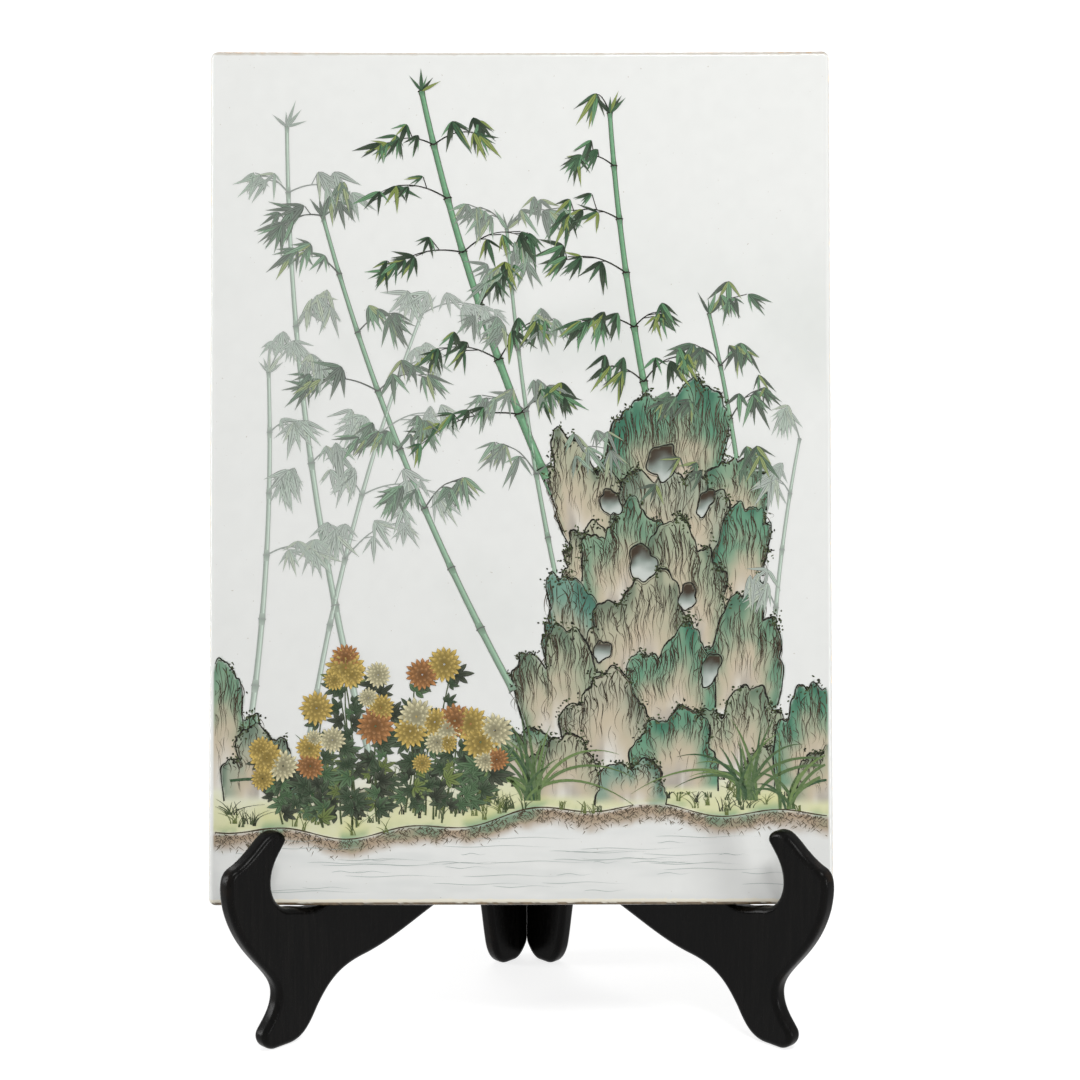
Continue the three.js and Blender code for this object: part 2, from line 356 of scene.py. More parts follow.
def finished_mesh(piece):
    """The mesh of a piece with its modifiers done."""
    return bpy.data.meshes.new_from_object(piece.evaluated_get(bpy.context.evaluated_depsgraph_get()))


def cut(piece, cutters, operation="DIFFERENCE"):
    """The mesh of piece with the cutters taken away, or added."""
    holder = new_object("cut", piece)
    tools = [new_object("cutter", cutter) for cutter in cutters]
    for tool in tools:
        step = holder.modifiers.new("cut", "BOOLEAN")
        step.operation = operation
        step.solver = "EXACT"
        step.object = tool
    result = finished_mesh(holder)
    for made in (holder, *tools):
        bpy.data.objects.remove(made)
    return result


def on_board(sign):
    """From a board's millimetres (along, up, outwards) to the place of the left (-1) or right (1) one."""
    return Matrix((
        (sign * half_right, 0, sign * half_right, hinge_x),
        (-half_right, 0, half_right, hinge_y),
        (0, 1, 0, 0),
        (0, 0, 0, 1),
    )) @ Matrix.Scale(0.001, 4)


def settle(mesh, matrix, sharp=None):
    """Puts the place of a piece in its mesh, faces outwards, shaded smooth but for edges of a sharp angle."""
    mesh.transform(matrix)
    made = bmesh.new()
    made.from_mesh(mesh)
    bmesh.ops.remove_doubles(made, verts=made.verts, dist=1e-6)
    bmesh.ops.recalc_face_normals(made, faces=made.faces)
    if sharp:
        for face in made.faces:
            face.smooth = True
        for edge in made.edges:
            edge.smooth = len(edge.link_faces) == 2 and edge.calc_face_angle() < sharp
    made.to_mesh(mesh)
    made.free()


lacquer = Finish("black lacquer")
grain = lacquer.noise(60, 4, 0.6, (9, 9, 0.7))
pores = lacquer.noise(240, 2, 0.5, (9, 9, 0.6)).step(0.6, 0.72)
handling = lacquer.noise(22, 3, 0.6)
dust = lacquer.noise(2600, 1, 0.4).step(0.74, 0.8)
rim = lacquer.attribute("rim")
# Lighter brown in patches on the rounded edges: partly worn lacquer, partly a painted sheen where the edge
# strips face the light
edge_wear_and_sheen = rim * lacquer.noise(55, 4, 0.65).step(0.52, 0.7)
colour = lacquer.blend(grain.step(0.35, 0.7), (0.0012, 0.0011, 0.001), (0.0042, 0.0038, 0.0033))
colour = lacquer.blend(edge_wear_and_sheen * 0.55, colour, (0.03, 0.019, 0.012))
colour = lacquer.blend(dust * 0.35, colour, (0.06, 0.055, 0.05))
relief = lacquer.noise(420, 2, 0.5) * 0.35 + handling * 0.4 + grain * 0.5 - pores * 0.7
black_lacquer = lacquer.coat({
    "Base Color": colour,
    "Roughness": 0.12 + handling * 0.14 + grain * 0.08 + dust * 0.2 + rim * 0.06,
    "Specular IOR Level": 0.08,
    "Normal": lacquer.bump(0.16, 0.0004, relief),
})

leaf_width, leaf_height, leaf_thick = 6.4, 20, 0.9
leaf_seat = 0.2
mortise_depth = leaf_seat + 1.2
mortise_gap = 0.3
knuckle_room = 1.8
hinge_heights = {"lower": 46, "upper": 205}

for sign, side in ((-1, "left"), (1, "right")):
    outline = trace(board_start, board_outline, 0.9)
    slab = rounded_slab(outline, face_gap, face_gap + board_thick, board_arris, 8)
    # The rear edge is planed straight, and mortised for the leaves with room for their knuckles
    cutters = [block((-20, -30, -10), (rear_edge, 300, 20))]
    for height in hinge_heights.values():
        half = leaf_height / 2 + mortise_gap
        corners = (-2, height - half, -1), (mortise_depth, height + half, leaf_width + mortise_gap)
        cutters += [block(*corners), post(knuckle_room, height - half - 0.8, height + half + 0.8)]
    board_mesh = cut(slab, cutters)
    settle(board_mesh, on_board(sign))
    facing = Vector((sign * half_right, half_right, 0))
    rounded = [abs(face.normal.dot(facing)) < 0.999 for face in board_mesh.polygons]
    board_mesh.polygons.foreach_set("use_smooth", rounded)
    edge = board_mesh.attributes.new("rim", "FLOAT", "POINT")
    edge.data.foreach_set("value", [1 - abs(corner.normal.dot(facing)) for corner in board_mesh.vertices])
    board_mesh.materials.clear()
    board_mesh.materials.append(black_lacquer)
    board = new_object(f"lacquered_{side}_board", board_mesh)
    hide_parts(f"{side}_board")
    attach(board, f"easel_{side}")


# ---- Hinges
# Two small brass butt hinges, let into the rear edges: a left leaf with two rolled knuckles, a right leaf
# with one between them, and a wire pin peened over at both ends. Cast blanks, filed, and dulled by age.

leaf_low, leaf_high = leaf_seat, leaf_seat + leaf_thick
leaf_corner = 0.8
knuckle_radius = 1.5
knuckle_gap = 0.3
knuckle_height = (leaf_height - 2 * knuckle_gap) / 3
pin_hole = 0.8
screw_across = 4.5
screw_heights = (-5.5, 5.5)


def knuckle_span(number):
    low = number * (knuckle_height + knuckle_gap) - leaf_height / 2
    return low, low + knuckle_height


def hinge_leaf(own, others):
    """One leaf, with x across the leaf, y up and z into the board."""
    half = leaf_height / 2
    bend = [math.radians(a) for a in range(0, 91, 15)]
    near, far = ([(1 - part(a)) * leaf_corner for a in bend] for part in (math.sin, math.cos))
    outline = [(0, -half)]
    outline += [(leaf_width - across, up - half) for across, up in zip(near, far)]
    outline += [(leaf_width - across, half - up) for across, up in zip(far, near)]
    outline += [(0, half)]
    leaf = rounded_slab(np.array(outline, float), leaf_low, leaf_high, 0.08, 2)
    spans = [knuckle_span(k) for k in others]
    leaf = cut(leaf, [post(knuckle_room, low - knuckle_gap, high + knuckle_gap) for low, high in spans])
    edge = 0.14
    barrels = []
    for low, high in map(knuckle_span, own):
        end = [(knuckle_radius - edge, 0), (knuckle_radius - edge * 0.3, edge * 0.3), (knuckle_radius, edge)]
        barrels.append(turned([
            (0, low), *((radius, low + up) for radius, up in end),
            *((radius, high - up) for radius, up in end[::-1]), (0, high),
        ]))
    leaf = cut(leaf, barrels, "UNION")
    cutters = [post(pin_hole, -half - 1, half + 1)]
    for height in screw_heights:
        top, bottom = leaf_low - 0.1, leaf_high + 0.1
        sink = turned([(0, top), (1.7, top), (0.8, bottom), (0, bottom)])
        sink.transform(Matrix.Translation((screw_across, height, 0)) @ Matrix.Rotation(math.pi / 2, 4, "X"))
        cutters.append(sink)
    return cut(leaf, cutters)


brass = Finish("aged brass")
tarnish = brass.noise(260, 4, 0.65).step(0.4, 0.68)
filed = brass.noise(900, 2, 0.5, (1, 1, 0.08))
pitting = brass.noise(2400, 2, 0.5).step(0.66, 0.74)
colour = brass.blend(tarnish, (0.5, 0.33, 0.12), (0.17, 0.1, 0.045))
colour = brass.blend(pitting * 0.6, colour, (0.05, 0.045, 0.025))
aged_brass = brass.coat({
    "Base Color": colour,
    "Metallic": 1 - pitting * 0.5 - tarnish * 0.2,
    "Roughness": 0.3 + tarnish * 0.18 + filed * 0.1,
    "Normal": brass.bump(0.3, 0.0001, filed - pitting * 0.6),
})


def dress(name, mesh, matrix, body, slot, *nodes):
    """Gives a brass piece its place, finish and body, and hides the nodes it stands for."""
    settle(mesh, matrix, math.radians(32))
    mesh.materials.clear()
    mesh.materials.append(aged_brass)
    piece = new_object(name, mesh)
    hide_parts(*nodes)
    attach(piece, body)


into_board = Matrix(((0, 0, 1, 0), (0, 1, 0, 0), (1, 0, 0, 0), (0, 0, 0, 1)))
end = leaf_height / 2 + 0.3
peened = [(0, 0.5), (0.45, 0.47), (0.8, 0.38), (1.05, 0.2), (1.15, 0.04), (1.12, 0), (0.7, 0)]
pin_profile = [(radius, -end - out) for radius, out in peened]
pin_profile += [(radius, end + out) for radius, out in peened[::-1]]

for level, height in hinge_heights.items():
    raised = Matrix.Translation((0, height, 0))
    for sign, side, own, others in ((-1, "left", (0, 2), (1,)), (1, "right", (1,), (0, 2))):
        node = f"{level}_hinge_{side}_leaf"
        matrix = on_board(sign) @ raised @ into_board
        dress(f"brass_{node}", hinge_leaf(own, others), matrix, f"easel_{side}", "hinge_brass", node)
    node = f"{level}_hinge_pin"
    dress(f"brass_{node}", turned(pin_profile), on_board(-1) @ raised, "easel_left", "hinge_brass", node)


# ---- Screws
# Slotted countersunk wood screws of brass, two to a leaf, their heads flush with it and their slots left at
# any angle. One screw is built by the node tree and set on a point for each.


class Pattern(Nodes):
    """A node tree with named sizes, which sets one small piece on every point that it is given."""

    def __init__(self, name, sizes, finish, result):
        super().__init__(bpy.data.node_groups.new(name, "GeometryNodeTree"))
        face = self.tree.interface
        face.new_socket("Points", in_out="INPUT", socket_type="NodeSocketGeometry")
        for label, value in sizes.items():
            kind = "NodeSocketInt" if isinstance(value, int) else "NodeSocketFloat"
            face.new_socket(label, in_out="INPUT", socket_type=kind).default_value = value
        face.new_socket(finish, in_out="INPUT", socket_type="NodeSocketMaterial")
        face.new_socket(result, in_out="OUTPUT", socket_type="NodeSocketGeometry")
        given = self.tree.nodes.new("NodeGroupInput").outputs[:len(sizes) + 2]
        self.points, *self.sizes, self.finish = (Socket(self, output) for output in given)

    def named(self, name, kind="FLOAT_VECTOR"):
        return self.node("GeometryNodeInputNamedAttribute", {"data_type": kind}, {"Name": name})

    def set_out(self, piece, **inputs):
        """Sets the piece on the points, each turned its own way, and gives it its material."""
        inputs = {"Points": self.points, "Instance": piece, "Rotation": self.named("turn"), **inputs}
        placed = self.node("GeometryNodeInstanceOnPoints", {}, inputs)
        real = self.node("GeometryNodeRealizeInstances", {}, {0: placed})
        coated = self.node("GeometryNodeSetMaterial", {}, {"Geometry": real, "Material": self.finish})
        self.node("NodeGroupOutput", {}, {0: coated})

    def made_on(self, points, **inputs):
        """The plain mesh of all the pieces."""
        holder = new_object("points", points)
        setter = holder.modifiers.new("pieces", "NODES")
        setter.node_group = self.tree
        for item in self.tree.interface.items_tree:
            key = item.name.lower().replace(" ", "_")
            if item.in_out == "INPUT" and key in inputs:
                setter[item.identifier] = inputs[key]
        mesh = finished_mesh(holder)
        bpy.data.objects.remove(holder)
        return mesh


def marked_points(spots, **marks):
    """Points that each carry vectors for a node tree to read."""
    points = new_mesh("points", spots)
    for name, vectors in marks.items():
        points.attributes.new(name, "FLOAT_VECTOR", "POINT").data.foreach_set("vector", np.ravel(vectors))
    return points


wood_screw = Pattern("wood screws", {
    "Head radius": 1.35, "Head depth": 0.8, "Shank radius": 0.65, "Length": 7.0, "Slot": 0.4,
}, "Metal", "Screws")
head, deep, shank, long, slot = wood_screw.sizes


def cone(bottom, top, low, high):
    sizes = {"Vertices": 32, "Radius Bottom": bottom, "Radius Top": top, "Depth": high - low}
    spot = wood_screw.node("ShaderNodeCombineXYZ", {}, {2: low})
    made = wood_screw.node("GeometryNodeMeshCone", {}, sizes)
    return wood_screw.node("GeometryNodeTransform", {}, {"Geometry": made, "Translation": spot})


taper = long * 0.62
solids = [
    cone(head * 0.96, head, 0.0, slot * 0.2), cone(head, shank, slot * 0.2, deep),
    cone(shank, shank * 0.96, deep * 0.9, taper), cone(shank * 0.96, shank * 0.04, taper * 0.98, long),
]
solid = wood_screw.node("GeometryNodeMeshBoolean", {"operation": "UNION"}, {"Mesh 2": solids})
size = wood_screw.node("ShaderNodeCombineXYZ", {}, {0: head * 4, 1: slot, 2: slot * 2})
blade = wood_screw.node("GeometryNodeMeshCube", {}, {"Size": size})
inputs = {"Mesh 1": solid, "Mesh 2": blade}
wood_screw.set_out(wood_screw.node("GeometryNodeMeshBoolean", {"operation": "DIFFERENCE"}, inputs))

for sign, side in ((-1, "left"), (1, "right")):
    spots, turns, stood_for = [], [], []
    for level, height in hinge_heights.items():
        for number, offset in enumerate(screw_heights, 1):
            spots.append((screw_across, height + offset, leaf_low + 0.05))
            turns.append((0, 0, 0.5 + 2.2 * number + 1.3 * (level == "upper") + 0.8 * sign))
            stood_for.append(f"{level}_hinge_{side}_screw_{number}")
    screws = wood_screw.made_on(marked_points(spots, turn=turns), metal=aged_brass)
    matrix = on_board(sign) @ into_board
    dress(f"brass_{side}_screws", screws, matrix, f"easel_{side}", "screw_brass", *stood_for)


# ---- Plaque
# A slab of white porcelain, pressed flat and fired, with a clear glaze on its face and over its side
# arrises. The glaze runs thin along the top and bottom arrises, where the body has burnt brown, and the
# sides and back are bare biscuit. It lies loose in the notches of the boards.

plaque_left = 2.6
plaque_half = 138.0
plaque_height = 380.0
arris = 2.0
corner = 1.0
top_dip = 0.5
point_spacing = 1.1

plaque_lean = Matrix((
    (1, 0, 0, 0),
    (0, math.sin(lean), -math.cos(lean), 0),
    (0, math.cos(lean), math.sin(lean), 0),
    (0, 0, 0, 1),
))
plaque_foot = (hinge_x - plaque_left / 1000, hinge_y - plaque_forward / 1000, front_edge / 1000)
on_plaque = Matrix.Translation(plaque_foot) @ plaque_lean @ Matrix.Scale(0.001, 4)


def cloud(x, y, size, seed, octaves=3):
    """Soft random shading, from 0 to 1, with lumps of this size."""
    cells = 61
    total, weight = np.zeros(np.shape(x)), 0.0
    for octave in range(octaves):
        heights = np.random.default_rng(seed * 31 + octave).random((cells, cells))
        u = np.asarray(x) / size * 2 ** octave + 500.3
        v = np.asarray(y) / size * 2 ** octave + 300.7
        i, j = np.floor(u).astype(int), np.floor(v).astype(int)
        f, g = u - i, v - j
        f, g = f * f * (3 - 2 * f), g * g * (3 - 2 * g)
        i0, i1, j0, j1 = i % cells, (i + 1) % cells, j % cells, (j + 1) % cells
        low = heights[i0, j0] * (1 - f) + heights[i1, j0] * f
        high = heights[i0, j1] * (1 - f) + heights[i1, j1] * f
        total += (low * (1 - g) + high * g) / 2 ** octave
        weight += 1 / 2 ** octave
    return total / weight


def rise(value, low, high):
    """0 below low, 1 above high and smooth between them."""
    t = np.clip((value - low) / (high - low), 0, 1)
    return t * t * (3 - 2 * t)


def inside(x, y, outline):
    """Which of the points lie inside a closed outline."""
    found = np.zeros(np.shape(x), bool)
    (left, foot), (right, top) = outline.min(axis=0), outline.max(axis=0)
    near = (x > left) & (x < right) & (y > foot) & (y < top)
    px, py = x[near][:, None], y[near][:, None]
    x0, y0 = outline.T
    x1, y1 = np.roll(outline, -1, axis=0).T
    crossed = ((y0 > py) != (y1 > py)) & (px < (x1 - x0) * (py - y0) / (y1 - y0 + 1e-12) + x0)
    found[near] = crossed.sum(axis=1) % 2 == 1
    return found


def tint(red, green, blue):
    """A colour as it looks on a screen, from 0 to 255, as Blender's linear one."""
    shares = (red / 255, green / 255, blue / 255)
    return np.array([c / 12.92 if c <= 0.04045 else ((c + 0.055) / 1.055) ** 2.4 for c in shares])


# The flat face as columns and rows, closer together in its corners, which are then rounded
flat_half, low, high = plaque_half - arris, arris, plaque_height - arris
bend = np.array([0, 0.33, 0.67]) * corner
columns = np.linspace(corner - flat_half, flat_half - corner, round(2 * flat_half / point_spacing))
rows = np.linspace(low + corner, high - corner, round((high - low) / point_spacing))
grid_x, grid_y = np.meshgrid(
    np.concatenate([bend - flat_half, columns, flat_half - bend[::-1]]),
    np.concatenate([bend + low, rows, high - bend[::-1]]),
)
middle = plaque_height / 2
centre_x = np.sign(grid_x) * (flat_half - corner)
centre_y = np.where(grid_y < middle, low + corner, high - corner)
over_x = np.where(np.abs(grid_x) > flat_half - corner, (grid_x - centre_x) / corner, 0)
past_y = np.abs(grid_y - middle) > middle - arris - corner
over_y = np.where(past_y, (grid_y - centre_y) / corner, 0)
in_corner = (over_x != 0) & past_y
face_x = np.where(in_corner, centre_x + corner * over_x * np.sqrt(1 - over_y ** 2 / 2), grid_x).ravel()
face_y = np.where(in_corner, centre_y + corner * over_y * np.sqrt(1 - over_x ** 2 / 2), grid_y).ravel()

# The way outwards, all round the edge of the face
index = np.arange(grid_x.size).reshape(grid_x.shape)
loop = np.concatenate([index[0, :-1], index[:-1, -1], index[-1, :0:-1], index[:0:-1, 0]])
edge_x, edge_y = face_x[loop], face_y[loop]
out_x, out_y, round_x, round_y = (grid.ravel()[loop] for grid in (over_x, over_y, centre_x, centre_y))
in_corner = (out_x != 0) & (out_y != 0)
bottom, top = loop <= index[0, -1], loop >= index[-1, 0]
normal_x = np.where(in_corner, edge_x - round_x, np.where(bottom | top, 0, np.sign(out_x)))
normal_y = np.where(in_corner, edge_y - round_y, np.where(bottom, -1, np.where(top, 1, 0)))
span = np.hypot(normal_x, normal_y)
normal_x, normal_y = normal_x / span, normal_y / span

turns = np.linspace(0, math.pi / 2, 7)[1:]
levels = [(math.sin(a), -arris * (1 - math.cos(a))) for a in turns]
levels += [(math.sin(a), arris * (1 - math.cos(a)) - plaque_thick) for a in (*turns[::-2], 0)]
shells = [np.column_stack([face_x, face_y, np.zeros(index.size)])]
for outwards, level in levels:
    shells.append(np.column_stack([
        edge_x + normal_x * arris * outwards, edge_y + normal_y * arris * outwards, np.full(len(loop), level),
    ]))
slab_x, slab_y, slab_z = np.vstack(shells).T
slab_y = slab_y - top_dip * (1 - (slab_x / plaque_half) ** 2) * (slab_y / plaque_height) ** 12

squares = np.stack([index[:-1, :-1], index[:-1, 1:], index[1:, 1:], index[1:, :-1]], axis=-1).reshape(-1, 4)
rings = [loop] + [index.size + ring * len(loop) + np.arange(len(loop)) for ring in range(len(levels))]
bands = [
    np.stack([inner, outer, np.roll(outer, -1), np.roll(inner, -1)], axis=-1)
    for inner, outer in zip(rings[:-1], rings[1:])
]
glazed_faces = len(squares) + len(turns) * len(loop)
plaque_mesh = new_mesh(
    "plaque", np.column_stack([slab_x, slab_y, slab_z]).tolist(),
    [*np.vstack([squares, *bands]).tolist(), rings[-1][::-1].tolist()],
)


# ---- Washes of the painting
# Thin transparent enamel, laid on the glaze with a wet brush and fired again: a tall pierced garden rock
# in jade and tan, low rocks and a grassy bank. It is colour in the glaze here, point by point.

glaze_white = tint(240, 241, 238)
jade = tint(72, 148, 118)
deep_jade = tint(30, 82, 62)
blue_jade = tint(92, 152, 136)
tan = tint(206, 192, 166)
brown = tint(104, 80, 50)
earth = tint(164, 132, 88)
meadow = tint(220, 220, 150)
mist = tint(206, 212, 206)
water = tint(190, 198, 196)


def boulder(x, y, width, height, slant, seed):
    """One lobe of a rock: its outline from the left foot over its crown to the right foot."""
    t = np.linspace(0, math.pi, 150)
    shape = np.random.default_rng(seed)
    lobed = 1 + shape.uniform(-0.22, 0.22) * np.cos(t)
    for waves, depth in ((1.4, 0.22), (2.6, 0.15), (4.9, 0.08), (9.5, 0.04), (17, 0.018)):
        lobed = lobed + depth * (np.abs(np.sin(waves * t + shape.uniform(0, 3.1))) - 0.64)
    up = np.sin(t) ** shape.uniform(0.5, 0.75) * lobed
    return np.column_stack([x - width / 2 * np.cos(t) * lobed + slant * height * up, y + height * up])


def pierced(x, y, width, height, slant, seed):
    """The outline of a hole right through a rock."""
    t = np.linspace(0, 2 * math.pi, 70)
    shape = np.random.default_rng(seed)
    lobed = 1 + sum(0.3 / k * np.sin(k * t + shape.uniform(0, 6.3)) for k in (2, 3, 5, 8))
    across, up = width / 2 * np.cos(t) * lobed, height / 2 * np.sin(t) * lobed
    return np.column_stack([x + across + slant * up, y + up])


# From the back to the front: across, foot, width, height in millimetres, and slant
rocks = [boulder(*size, seed=24 + number) for number, size in enumerate([
    (58, 166, 58, 66, 0.1), (34, 158, 34, 48, -0.3), (88, 162, 30, 38, 0.32), (66, 148, 48, 46, 0.1),
    (92, 124, 32, 50, 0.25), (36, 132, 30, 34, -0.35), (46, 126, 38, 50, -0.05), (72, 112, 42, 52, 0.12),
    (28, 100, 30, 44, -0.3), (54, 98, 50, 46, -0.04), (88, 84, 40, 50, 0.22), (22, 70, 42, 50, -0.2),
    (62, 74, 40, 46, 0.06), (42, 60, 44, 40, -0.1), (6, 54, 28, 26, -0.3), (92, 56, 40, 38, 0.16),
    (70, 50, 42, 34, 0), (24, 46, 38, 26, -0.1), (50, 44, 30, 20, 0.05), (112, 50, 26, 20, 0.1),
    (128, 50, 38, 50, 0.08), (134, 44, 24, 26, 0), (-130, 50, 32, 52, 0.05), (-112, 46, 34, 30, -0.1),
    (-92, 44, 24, 15, 0.05), (-70, 43, 14, 8, 0),
])]
hollows = [pierced(*size, seed=70 + number) for number, size in enumerate([
    (63, 196, 12, 17, 0.2), (40, 178, 8, 13, -0.2), (82, 178, 7, 11, 0.3), (54, 151, 12, 16, 0.1),
    (74, 136, 8, 11, 0), (36, 112, 7, 10, 0.1), (84, 104, 9, 13, 0.2),
])]


def bank(x):
    """Height of the edge of the ground above the plaque's foot."""
    return 38 + 3.6 * np.sin(x / 31 + 0.6) + 2 * np.sin(x / 8.7 + 1) + 0.045 * x


def covered(x, y, outline, spread=0.32):
    """How much of the small patch round each point lies inside an outline."""
    corners = product((-spread, spread), repeat=2)
    return sum(inside(x + across, y + up, outline) for across, up in corners) / 4


def mixed(colour, pigment, amount):
    """A colour with this much of a pigment over it, from 0 to 1, point by point."""
    return colour + (pigment - colour) * amount[:, None]


def lay_washes(x, y):
    """The colour of the painted glaze at each point of the face."""
    colour = np.broadcast_to(glaze_white, (*x.shape, 3))
    grains = cloud(x, y, 9, 1, 4)
    above = y - bank(x)
    for amount, pigment in (
        (rise(cloud(x, y, 60, 2), 0.45, 0.8) * rise(y, 90, 150) * rise(330 - y, 0, 90) * 0.3, mist),
        (rise(above, -1, 1) * rise(40 - above, 0, 40) * (0.5 + 0.5 * grains), meadow),
        (rise(-above, 0, 1.5) * rise(above + 7 + 6 * grains, 0, 6) * 0.8, earth),
        (rise(5 - above, 0, 5) * rise(above + 2 + 7 * grains, 0, 4) * rise(grains, 0.4, 0.7) * 0.6, jade),
        (rise(cloud(x, y * 7, 44, 3), 0.5, 0.72) * rise(-7 - above, 0, 6) * 0.16, water),
    ):
        colour = mixed(colour, pigment, amount)
    for number, rock in enumerate(rocks):
        cover = covered(x, y, rock)
        within = cover > 0
        px, py = x[within], y[within]
        foot = np.array([rock[:, 0].mean(), rock[0, 1] - 4])
        bearing = np.arctan2(rock[:, 1] - foot[1], rock[:, 0] - foot[0])
        order = np.argsort(bearing)
        reach = np.hypot(*(rock - foot).T)
        out = np.hypot(px - foot[0], py - foot[1])
        out /= np.interp(np.arctan2(py - foot[1], px - foot[0]), bearing[order], reach[order])
        crown = rise(out + 0.3 * (cloud(px, py, 9, 5 + number) - 0.5), 0.42, 0.9)
        streaks = cloud(px, py / 3.5, 4.5, 40 + number, 2)
        green = blue_jade if number % 5 == 3 else jade
        strength = (1.0, 0.55, 0.85, 0.35)[number * 7 % 4]
        body = mixed(glaze_white, tan, 0.2 + 0.8 * rise(out, 0.1, 0.55))
        body = mixed(body, green, crown * (0.76 + 0.24 * streaks) * strength)
        body = mixed(body, deep_jade, rise(out, 0.72, 1.0) * rise(streaks, 0.35, 0.7) * 0.65)
        body = mixed(body, brown, rise(0.55 - out, 0, 0.4) * rise(streaks, 0.42, 0.7) * 0.55)
        colour[within] = mixed(colour[within], body, cover[within] * rise(py - rock[0, 1], -1, 4))
    for hollow in hollows:
        cover = covered(x, y, hollow)
        within = cover > 0
        px, py = x[within], y[within]
        depth = (py - hollow[:, 1].min()) / np.ptp(hollow[:, 1]) + 0.5 * (cloud(px, py, 5, 17, 2) - 0.5)
        shade = mixed(mist, deep_jade, 0.55 * rise(depth, 0.1, 0.5))
        shade = mixed(shade, brown * 0.3, rise(depth, 0.35, 0.8))
        colour[within] = mixed(colour[within], shade, cover[within])
    for edge, fall in ((y, 3), (plaque_height - y, 3), (plaque_half - np.abs(x), 2.5)):
        colour = mixed(colour, glaze_white, rise(fall - edge, 0, 1))
    return colour * (0.985 + 0.03 * (cloud(x, y, 5, 9, 2)[:, None] - 0.5))


def keep_paint(layers, shades):
    """Keeps a colour for each point, where a material reads it."""
    opaque = np.column_stack([shades, np.ones(len(shades))]).astype(np.float32)
    layers.new("paint", "FLOAT_COLOR", "POINT").data.foreach_set("color", opaque.ravel())


paint = lay_washes(slab_x, slab_y)
worn = cloud(slab_x, slab_y, 2.2, 11) - 0.5
patchy = np.clip(1 + 1.9 * worn[:, None], 0.45, 2.2)
# Along the foot, the top and the sides: how far in it is burnt and thin, and the colours of both
for inset, burnt, thin, pigment, pale in (
    (slab_y, 1.25, 2.9, tint(132, 112, 84), tint(246, 240, 222)),
    (plaque_height - slab_y, 0.7, 2.0, tint(168, 140, 108), tint(206, 200, 190)),
    (plaque_half - np.abs(slab_x), 0.15, 0.5, tint(226, 208, 180), tint(246, 242, 232)),
):
    paint = mixed(paint, pale, rise(thin + 0.8 * worn - inset, 0, 0.6))
    paint = mixed(paint, pigment * patchy, rise(burnt + 1.1 * worn - inset, 0, 0.25))
keep_paint(plaque_mesh.color_attributes, paint)

glaze = Finish("clear glaze")
speck = glaze.noise(900, 1, 0.4).step(0.79, 0.82)
orange_peel = glaze.noise(190, 2, 0.5) * 0.25 + glaze.noise(30, 2, 0.4)
glazed = glaze.coat({
    "Base Color": glaze.blend(speck * 0.45, glaze.attribute("paint", "Color"), tint(150, 132, 104)),
    "Roughness": 0.1 + glaze.noise(60, 2, 0.5) * 0.05,
    "Specular IOR Level": 0.35,
    "Normal": glaze.bump(0.12, 0.001, orange_peel),
})

biscuit = Finish("bare biscuit")
cloth = biscuit.noise(800, 2, 0.6, (1, 0.25, 0.25)) + biscuit.noise(800, 2, 0.6, (0.25, 1, 1))
flush = biscuit.noise(14, 3, 0.6).step(0.45, 0.75)
grit = biscuit.noise(1100, 1, 0.4).step(0.72, 0.8)
colour = biscuit.blend(cloth.step(0.7, 1.3), tint(224, 215, 196), tint(236, 230, 216))
colour = biscuit.blend(flush * 0.5, colour, tint(222, 186, 146))
unglazed = biscuit.coat({
    "Base Color": biscuit.blend(grit * 0.6, colour, tint(132, 100, 70)),
    "Roughness": 0.82 - flush * 0.12,
    "Normal": biscuit.bump(0.35, 0.0004, cloth + grit),
})

plaque_mesh.materials.append(glazed)
plaque_mesh.materials.append(unglazed)
face_numbers = np.arange(len(plaque_mesh.polygons))
plaque_mesh.polygons.foreach_set("material_index", (face_numbers >= glazed_faces).astype(np.int32))
plaque_mesh.polygons.foreach_set("use_smooth", face_numbers < face_numbers[-1])
settle(plaque_mesh, on_plaque)
plaque = new_object("painted_plaque", plaque_mesh)
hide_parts("plaque")
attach(plaque, "plaque")


# ---- Ink drawing
# The outlines and the fine strokes that model the rocks, the grass and the stems, drawn with a pointed
# brush in dark enamel before the washes, so each stroke swells and dies away. Every stroke is a thin strip.


def lay_on_glaze(name, mesh):
    """One layer of the painting, in its place on the glaze."""
    mesh.transform(on_plaque)
    piece = new_object(name, mesh)
    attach(piece, "plaque")


# Strokes stop short of the burnt arrises
stroke_half, stroke_foot, stroke_top = plaque_half - 2.6, 2.6, plaque_height - 3


